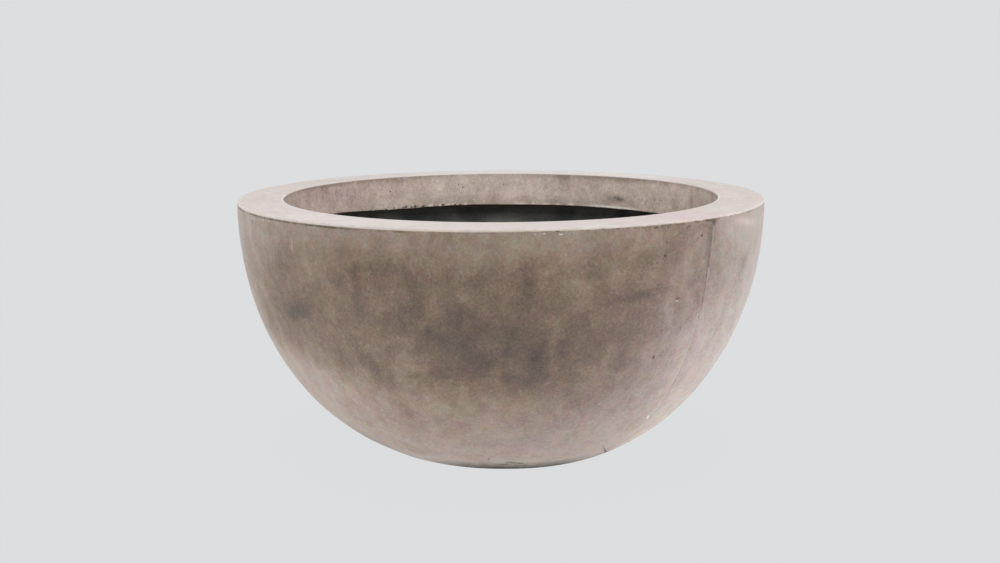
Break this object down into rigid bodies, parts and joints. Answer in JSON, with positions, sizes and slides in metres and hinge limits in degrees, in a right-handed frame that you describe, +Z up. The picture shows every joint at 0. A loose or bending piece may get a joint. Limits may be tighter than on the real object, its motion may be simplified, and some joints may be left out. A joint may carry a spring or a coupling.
{
  "type": "concrete bowl planter",
  "caption": "Round concrete bowl planter with a flat rim, a hanging inner lip, a black waterproof lining and a drain plug in its floor.",
  "frame": {"origin": "centre of the four pads' contact plane, where the planter stands", "axes": "+Z up along the bowl's axis, -Y towards the picture's viewer, +X to the viewer's right"},
  "size_m": [0.6, 0.6, 0.284],
  "materials": {
    "cast_concrete": "matte, cloudy, with fine air holes",
    "sanded_concrete": "matte, sanded flat",
    "waterproof_lining": "brushed-on, slightly uneven",
    "black_plastic": "moulded",
    "plug_rubber": "moulded",
    "pad_rubber": "moulded"
  },
  "bodies": {
    "planter": {"bowl_shell": "cast_concrete", "rim_collar": "sanded_concrete", "inner_lining": "waterproof_lining", "drain_sleeve": "black_plastic", "foot_pad_1": "pad_rubber", "foot_pad_2": "pad_rubber", "foot_pad_3": "pad_rubber", "foot_pad_4": "pad_rubber"},
    "plug": {"drain_plug": "plug_rubber"}
  },
  "joints": [
    {"name": "plug_lift", "type": "slide", "parent": "planter", "child": "plug", "axis": [0, 0, 1], "range_m": [0, 0.3]}
  ]
}
